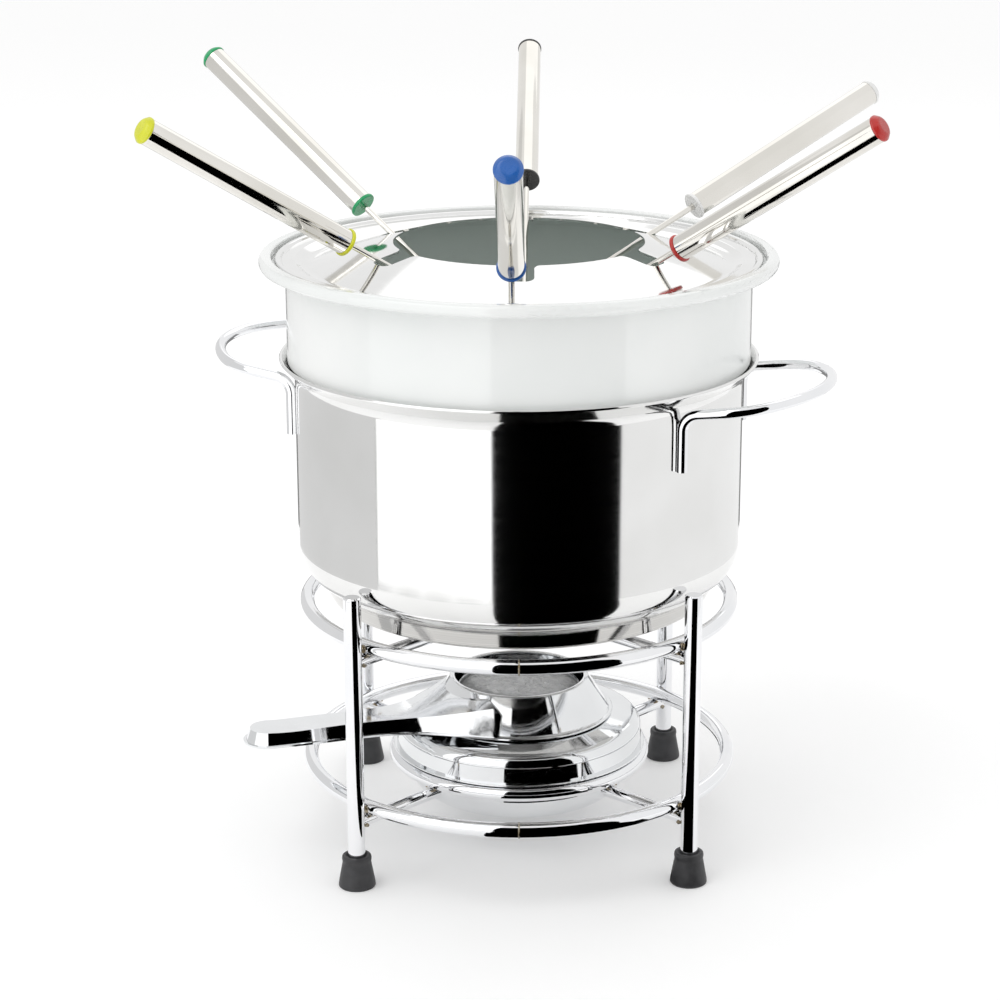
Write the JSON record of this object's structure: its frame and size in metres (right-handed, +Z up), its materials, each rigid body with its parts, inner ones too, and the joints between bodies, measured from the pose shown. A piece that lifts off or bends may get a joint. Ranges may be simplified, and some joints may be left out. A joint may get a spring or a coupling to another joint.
{
  "type": "fondue pot set",
  "caption": "Fondue pot with a ceramic bowl, fork guide and coloured forks, on a wire stand over a spirit burner.",
  "frame": {"origin": "on the table, on the vertical axis of the pot, between the four feet", "axes": "+Z up out of the table, -Y towards the front, where the regulator's handle points to the left (-X)"},
  "size_m": [0.2906, 0.3279, 0.3135],
  "materials": {
    "chromed_wire": "mirror chrome plate on bent wire",
    "rubber": "charcoal, satin",
    "polished_steel": "mirror-polished stainless steel",
    "base_disc_steel": "stainless steel, finely turned face and edge",
    "white_ceramic": "white glazed stoneware, opaque, gloss glaze",
    "burner_steel": "polished stainless steel pressing",
    "wadding": "white mineral wadding, matt and fluffy",
    "fork_steel": "polished stainless steel",
    "plastic_yellow": "lime yellow gloss plastic",
    "plastic_green": "green gloss plastic",
    "plastic_black": "black gloss plastic",
    "plastic_white": "white gloss plastic",
    "plastic_red": "red gloss plastic",
    "plastic_blue": "blue gloss plastic"
  },
  "bodies": {
    "stand": {"upper_ring": "chromed_wire", "upper_inner_ring": "chromed_wire", "lower_ring": "chromed_wire", "lower_inner_ring": "chromed_wire", "post_front_left": "chromed_wire", "rubber_foot_front_left": "rubber", "upper_spoke_front_left": "chromed_wire", "lower_spoke_front_left": "chromed_wire", "post_front_right": "chromed_wire", "rubber_foot_front_right": "rubber", "upper_spoke_front_right": "chromed_wire", "lower_spoke_front_right": "chromed_wire", "post_back_right": "chromed_wire", "rubber_foot_back_right": "rubber", "upper_spoke_back_right": "chromed_wire", "lower_spoke_back_right": "chromed_wire", "post_back_left": "chromed_wire", "rubber_foot_back_left": "rubber", "upper_spoke_back_left": "chromed_wire", "lower_spoke_back_left": "chromed_wire"},
    "pot": {"pot_body": "polished_steel", "pot_base_disc": "base_disc_steel", "pot_handle_right": "chromed_wire", "pot_handle_left": "chromed_wire"},
    "bowl": {"ceramic_bowl": "white_ceramic"},
    "guide": {"fork_guide": "polished_steel"},
    "burner": {"burner_cup": "burner_steel", "burner_cover": "burner_steel", "burner_wadding": "wadding"},
    "regulator": {"regulator_plate": "burner_steel", "regulator_handle": "burner_steel"},
    "yellow_fork": {"fork_yellow_shaft": "fork_steel", "fork_yellow_collar": "plastic_yellow", "fork_yellow_tube": "fork_steel", "fork_yellow_cap": "plastic_yellow"},
    "green_fork": {"fork_green_shaft": "fork_steel", "fork_green_collar": "plastic_green", "fork_green_tube": "fork_steel", "fork_green_cap": "plastic_green"},
    "black_fork": {"fork_black_shaft": "fork_steel", "fork_black_collar": "plastic_black", "fork_black_tube": "fork_steel", "fork_black_cap": "plastic_black"},
    "white_fork": {"fork_white_shaft": "fork_steel", "fork_white_collar": "plastic_white", "fork_white_tube": "fork_steel", "fork_white_cap": "plastic_white"},
    "red_fork": {"fork_red_shaft": "fork_steel", "fork_red_collar": "plastic_red", "fork_red_tube": "fork_steel", "fork_red_cap": "plastic_red"},
    "blue_fork": {"fork_blue_shaft": "fork_steel", "fork_blue_collar": "plastic_blue", "fork_blue_tube": "fork_steel", "fork_blue_cap": "plastic_blue"}
  },
  "joints": [
    {"name": "pot_lift", "type": "slide", "parent": "stand", "child": "pot", "axis": [0, 0, 1], "range_m": [0, 0.06]},
    {"name": "bowl_lift", "type": "slide", "parent": "pot", "child": "bowl", "axis": [0, 0, 1], "range_m": [0, 0.095]},
    {"name": "guide_lift", "type": "slide", "parent": "bowl", "child": "guide", "axis": [0, 0, 1], "range_m": [0, 0.1]},
    {"name": "burner_lift", "type": "slide", "parent": "stand", "child": "burner", "axis": [0, 0, 1], "range_m": [0, 0.021]},
    {"name": "regulator_turn", "type": "hinge", "parent": "burner", "child": "regulator", "pos_m": [0, 0, 0.05], "axis": [0, 0, 1], "range_deg": [-55, 12]},
    {"name": "yellow_fork_slide", "type": "slide", "parent": "guide", "child": "yellow_fork", "axis": [-0.7182, -0.4646, 0.518], "range_m": [0, 0.165]},
    {"name": "green_fork_slide", "type": "slide", "parent": "guide", "child": "green_fork", "axis": [-0.6726, 0.4727, 0.5693], "range_m": [0, 0.165]},
    {"name": "black_fork_slide", "type": "slide", "parent": "guide", "child": "black_fork", "axis": [0.0169, 0.8811, 0.4726], "range_m": [0, 0.165]},
    {"name": "white_fork_slide", "type": "slide", "parent": "guide", "child": "white_fork", "axis": [0.7904, 0.4435, 0.4226], "range_m": [0, 0.165]},
    {"name": "red_fork_slide", "type": "slide", "parent": "guide", "child": "red_fork", "axis": [0.7196, -0.4307, 0.5446], "range_m": [0, 0.165]},
    {"name": "blue_fork_slide", "type": "slide", "parent": "guide", "child": "blue_fork", "axis": [-0.0074, -0.8526, 0.5225], "range_m": [0, 0.165]}
  ]
}
